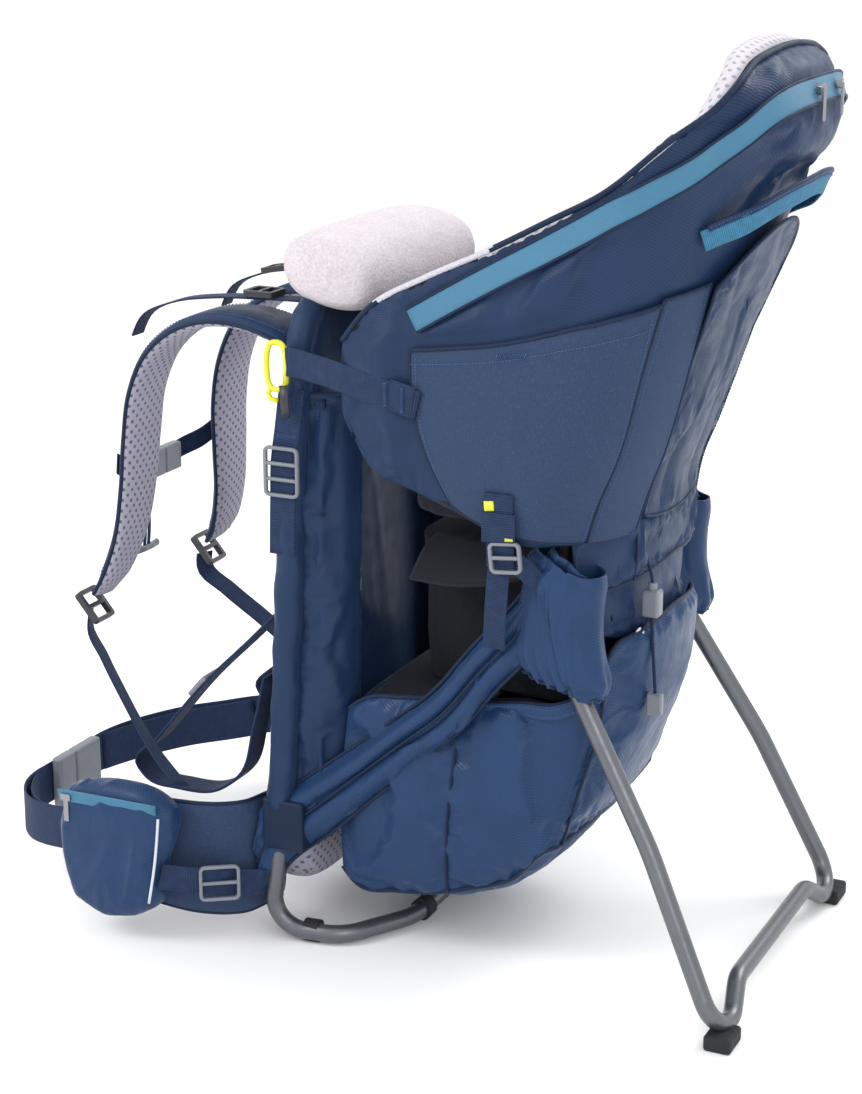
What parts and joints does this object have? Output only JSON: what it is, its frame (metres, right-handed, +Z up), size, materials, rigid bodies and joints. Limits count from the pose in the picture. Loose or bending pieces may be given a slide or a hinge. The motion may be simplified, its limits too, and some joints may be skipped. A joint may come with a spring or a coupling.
{
  "type": "child carrier backpack",
  "caption": "Framed child carrier backpack with padded harness and hip belt, deep fabric seat, storage bag, base loop and folding kickstand.",
  "frame": {"origin": "on the floor, at the middle of the footprint of the whole object", "axes": "+Z up; the wearer and the child face -Y; +X is the wearer's left"},
  "size_m": [0.4306, 0.7638, 0.8048],
  "materials": {
    "frame_tube": "satin gunmetal",
    "rubber": "matt",
    "black_plastic": "fine texture",
    "grey_plastic": "satin",
    "lime_plastic": "semi-gloss",
    "steel": "satin",
    "zip_metal": "polished",
    "mesh": "3D mesh",
    "fleece": "brushed fleece",
    "upper_fabric": "ribbed nylon",
    "lower_fabric": "ripstop nylon with a soft sheen",
    "canvas": "coarse plain weave",
    "black_fabric": "matt",
    "webbing": "woven webbing",
    "zip_tape": "coated zip tape",
    "cord": "braided"
  },
  "bodies": {
    "pack": {"frame_hoop": "frame_tube", "base_loop": "frame_tube", "rear_hoop": "frame_tube", "base_clips": "rubber", "frame_brackets": "black_plastic", "pivot_pins": "steel", "back_pads": "mesh", "front_panel": "lower_fabric", "hip_webbing": "webbing", "belt_buckle_socket": "grey_plastic", "stabiliser_straps": "webbing", "load_lifter_straps": "webbing", "load_lifter_buckles": "grey_plastic", "lower_shoulder_straps": "webbing", "lower_shoulder_buckles": "black_plastic", "seat_back": "upper_fabric", "rear_cuff": "upper_fabric", "headrest": "upper_fabric", "chin_pad": "fleece", "child_harness": "webbing", "harness_buckle": "black_plastic", "rim_zips": "zip_tape", "side_entry_straps": "webbing", "upright_straps": "webbing", "thigh_straps": "webbing", "ladder_locks": "grey_plastic", "storage_bag": "lower_fabric", "side_bands": "lower_fabric", "leg_sleeves": "lower_fabric", "haul_loop": "zip_tape", "drawcord": "cord", "cord_lock_body": "grey_plastic", "cord_end": "grey_plastic", "grommet": "steel", "hip_fin_left": "canvas", "hip_pocket_left": "lower_fabric", "shoulder_strap_left": "mesh", "seat_wing_left": "upper_fabric", "stirrup_left": "webbing", "hip_fin_right": "canvas", "hip_pocket_right": "lower_fabric", "shoulder_strap_right": "mesh", "seat_wing_right": "upper_fabric", "stirrup_right": "webbing"},
    "kickstand": {"kickstand_tube": "frame_tube", "kickstand_lugs": "black_plastic", "kickstand_feet": "rubber"},
    "belt_plug": {"belt_buckle_plug": "grey_plastic"},
    "sternum": {"sternum_webbing": "webbing", "sternum_socket": "grey_plastic"},
    "sternum_plug": {"sternum_plug": "grey_plastic"},
    "harness_button": {"harness_button": "lime_plastic"},
    "cord_lock_button": {"cord_lock_button": "grey_plastic"},
    "seat": {"seat_cushion": "black_fabric"},
    "entry_hook_left": {"entry_hook_left": "lime_plastic"},
    "rim_zip_left": {"rim_zip_slider_left": "zip_metal"},
    "pocket_zip_left": {"pocket_zip_slider_left": "zip_metal"},
    "entry_hook_right": {"entry_hook_right": "lime_plastic"},
    "rim_zip_right": {"rim_zip_slider_right": "zip_metal"},
    "pocket_zip_right": {"pocket_zip_slider_right": "zip_metal"}
  },
  "joints": [
    {"name": "kickstand_fold", "type": "hinge", "parent": "pack", "child": "kickstand", "pos_m": [0, 0.189, 0.33], "axis": [1, 0, 0], "range_deg": [-45, 0]},
    {"name": "belt_release", "type": "slide", "parent": "pack", "child": "belt_plug", "axis": [1, 0, 0], "range_m": [0, 0.024]},
    {"name": "sternum_height", "type": "slide", "parent": "pack", "child": "sternum", "axis": [0, 0, 1], "range_m": [-0.02, 0.02]},
    {"name": "sternum_release", "type": "slide", "parent": "sternum", "child": "sternum_plug", "axis": [1, 0, 0], "range_m": [0, 0.014]},
    {"name": "seat_height", "type": "slide", "parent": "pack", "child": "seat", "axis": [0, 0, 1], "range_m": [-0.015, 0.03]},
    {"name": "harness_release", "type": "slide", "parent": "pack", "child": "harness_button", "axis": [0, 1, 0], "range_m": [0, 0.002], "stiffness_N_per_m": 400, "springref_m": -0.001},
    {"name": "cord_lock_press", "type": "slide", "parent": "pack", "child": "cord_lock_button", "axis": [0, 0, -1], "range_m": [0, 0.004], "stiffness_N_per_m": 300, "springref_m": -0.001},
    {"name": "entry_hook_left", "type": "hinge", "parent": "pack", "child": "entry_hook_left", "pos_m": [0.139, -0.052, 0.536], "axis": [0, 0, 1], "range_deg": [0, 45]},
    {"name": "rim_zip_left", "type": "slide", "parent": "pack", "child": "rim_zip_left", "axis": [0.9861, -0.1353, -0.0967], "range_m": [0, 0.04]},
    {"name": "pocket_zip_left", "type": "slide", "parent": "pack", "child": "pocket_zip_left", "axis": [0, 1, 0], "range_m": [0, 0.085]},
    {"name": "entry_hook_right", "type": "hinge", "parent": "pack", "child": "entry_hook_right", "pos_m": [-0.139, -0.052, 0.536], "axis": [0, 0, -1], "range_deg": [0, 45]},
    {"name": "rim_zip_right", "type": "slide", "parent": "pack", "child": "rim_zip_right", "axis": [-0.9861, -0.1353, -0.0967], "range_m": [0, 0.04]},
    {"name": "pocket_zip_right", "type": "slide", "parent": "pack", "child": "pocket_zip_right", "axis": [0, 1, 0], "range_m": [0, 0.085]}
  ]
}
